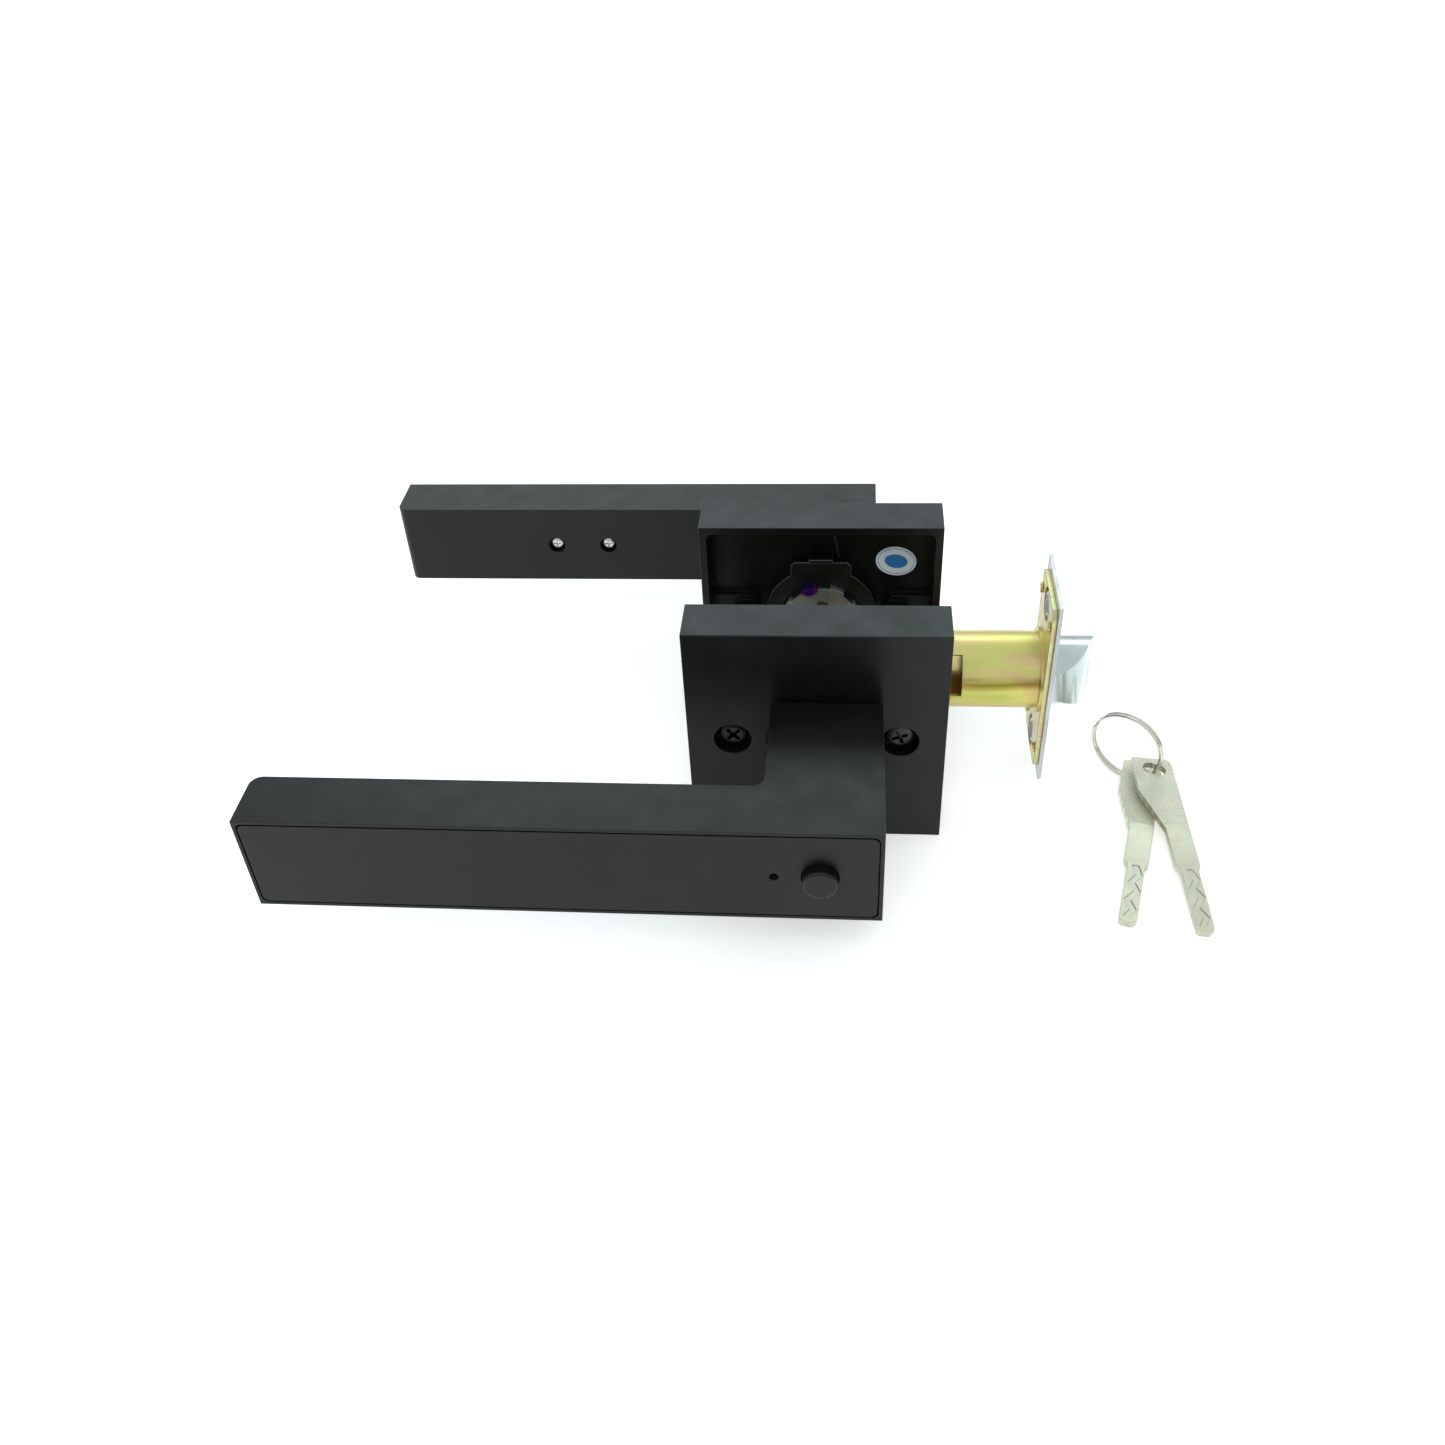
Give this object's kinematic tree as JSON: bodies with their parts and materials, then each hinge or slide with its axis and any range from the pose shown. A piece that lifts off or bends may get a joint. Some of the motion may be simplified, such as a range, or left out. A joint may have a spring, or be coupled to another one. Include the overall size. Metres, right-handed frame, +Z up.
{
  "type": "keypad lever lock",
  "caption": "Square-rose electronic lever lock with battery lever, keypad lever, tubular latch and two keys on a ring, shown without a door.",
  "frame": {"origin": "on the spindle axis, half way through the door", "axes": "+X towards the door's edge and latch bolt, +Y from the inside of the door to the outside, +Z up"},
  "size_m": [0.2291, 0.1565, 0.065],
  "materials": {
    "satin_black_zinc": "satin powder coat",
    "black_plastic": "fine matt moulding",
    "black_oxide_steel": "black oxide, oiled",
    "bright_steel": "bright plated",
    "spring_steel": "drawn wire",
    "yellow_zinc": "yellow passivated zinc",
    "satin_nickel": "satin nickel",
    "chrome_bolt": "polished plate",
    "brass": "machined",
    "white_nylon": "moulded nylon",
    "black_glass": "gloss touch glass",
    "green_board": "solder mask",
    "cell_wrap": "printed sleeve",
    "wire_sleeve": "silicone insulation",
    "paper_label": "paper sticker",
    "motor_can": "drawn can"
  },
  "bodies": {
    "lock_body": {"inside_rose": "satin_black_zinc", "outside_rose": "satin_black_zinc", "mounting_screws": "black_oxide_steel", "inside_bushing": "black_plastic", "outside_bushing": "black_plastic", "inside_spring_plate": "black_oxide_steel", "outside_spring_plate": "black_oxide_steel", "inside_return_spring": "spring_steel", "outside_return_spring": "spring_steel", "inspection_sticker": "paper_label", "wire_harness": "wire_sleeve", "latch_tube": "yellow_zinc", "latch_case": "yellow_zinc", "latch_backplate": "yellow_zinc", "latch_faceplate": "satin_nickel", "faceplate_rivets": "brass", "latch_springs": "spring_steel"},
    "inside_handle": {"inside_lever": "satin_black_zinc", "battery_tray": "black_plastic", "battery_1": "cell_wrap", "battery_2": "cell_wrap", "battery_3": "cell_wrap", "battery_4": "cell_wrap", "battery_contacts": "bright_steel", "inside_board": "green_board", "button_spring": "spring_steel", "inside_circlip": "black_oxide_steel", "spindle": "bright_steel", "latch_cam": "bright_steel"},
    "cover": {"battery_cover": "satin_black_zinc"},
    "button": {"privacy_button": "satin_black_zinc"},
    "reset": {"reset_plunger": "white_nylon"},
    "bolt": {"latch_bolt": "chrome_bolt", "bolt_tail": "brass"},
    "outside_handle": {"outside_lever": "satin_black_zinc", "keypad_glass": "black_glass", "keypad_frame": "black_plastic", "keypad_board": "green_board", "fingerprint_sensor": "black_glass", "lever_screws": "bright_steel", "key_cylinder": "satin_nickel", "outside_circlip": "black_oxide_steel", "clutch_ring": "bright_steel", "clutch_motor": "motor_can"},
    "plug": {"key_plug": "satin_nickel"},
    "motor_screw": {"clutch_screw": "bright_steel"},
    "dog": {"clutch_dog": "brass"},
    "ring": {"key_ring": "satin_nickel"},
    "first_key": {"key_1": "satin_nickel"},
    "second_key": {"key_2": "satin_nickel"}
  },
  "joints": [
    {"name": "inside_lever_turn", "type": "hinge", "parent": "lock_body", "child": "inside_handle", "pos_m": [0, 0, 0], "axis": [0, -1, 0], "range_deg": [0, 45], "stiffness_Nm_per_rad": 0.35, "springref_deg": -68.75},
    {"name": "outside_lever_turn", "type": "hinge", "parent": "lock_body", "child": "outside_handle", "pos_m": [0, 0, 0], "axis": [0, -1, 0], "range_deg": [0, 45], "stiffness_Nm_per_rad": 0.35, "springref_deg": -68.75},
    {"name": "latch_bolt_slide", "type": "slide", "parent": "lock_body", "child": "bolt", "axis": [-1, 0, 0], "range_m": [0, 0.0107], "stiffness_N_per_m": 200, "springref_m": -0.01, "deforming": ["latch_springs"]},
    {"name": "battery_cover_pull", "type": "slide", "parent": "inside_handle", "child": "cover", "axis": [0, -1, 0], "range_m": [0, 0.03]},
    {"name": "privacy_button_press", "type": "slide", "parent": "inside_handle", "child": "button", "axis": [0, 1, 0], "range_m": [0, 0.002], "stiffness_N_per_m": 500, "springref_m": -0.001, "deforming": ["button_spring"]},
    {"name": "reset_press", "type": "slide", "parent": "inside_handle", "child": "reset", "axis": [0, 1, 0], "range_m": [0, 0.0005], "stiffness_N_per_m": 400, "springref_m": -0.0005},
    {"name": "key_plug_turn", "type": "hinge", "parent": "outside_handle", "child": "plug", "pos_m": [0, 0.065, 0], "axis": [0, 1, 0], "range_deg": [0, 90]},
    {"name": "clutch_screw_turn", "type": "hinge", "parent": "outside_handle", "child": "motor_screw", "pos_m": [0, 0.03, 0], "axis": [0, 1, 0], "range_deg": [0, 720]},
    {"name": "clutch_dog_slide", "type": "slide", "parent": "inside_handle", "child": "dog", "axis": [0, 1, 0], "range_m": [0, 0.007]},
    {"name": "key_ring_lift", "type": "slide", "parent": "lock_body", "child": "ring", "axis": [0, 0, 1], "range_m": [0, 0.06]},
    {"name": "key_1_swing", "type": "hinge", "parent": "ring", "child": "first_key", "pos_m": [0.08838, -0.00861, -0.02991], "axis": [0, 0, 1], "range_deg": [-15, 0]},
    {"name": "key_2_swing", "type": "hinge", "parent": "ring", "child": "second_key", "pos_m": [0.09065, -0.01026, -0.02644], "axis": [0, 0, 1], "range_deg": [0, 20]}
  ],
  "couplings": [
    {"joint": "latch_bolt_slide", "follows": "inside_lever_turn", "m_per_rad": 0.01362},
    {"joint": "clutch_screw_turn", "follows": "clutch_dog_slide", "rad_per_m": 1795.1}
  ]
}
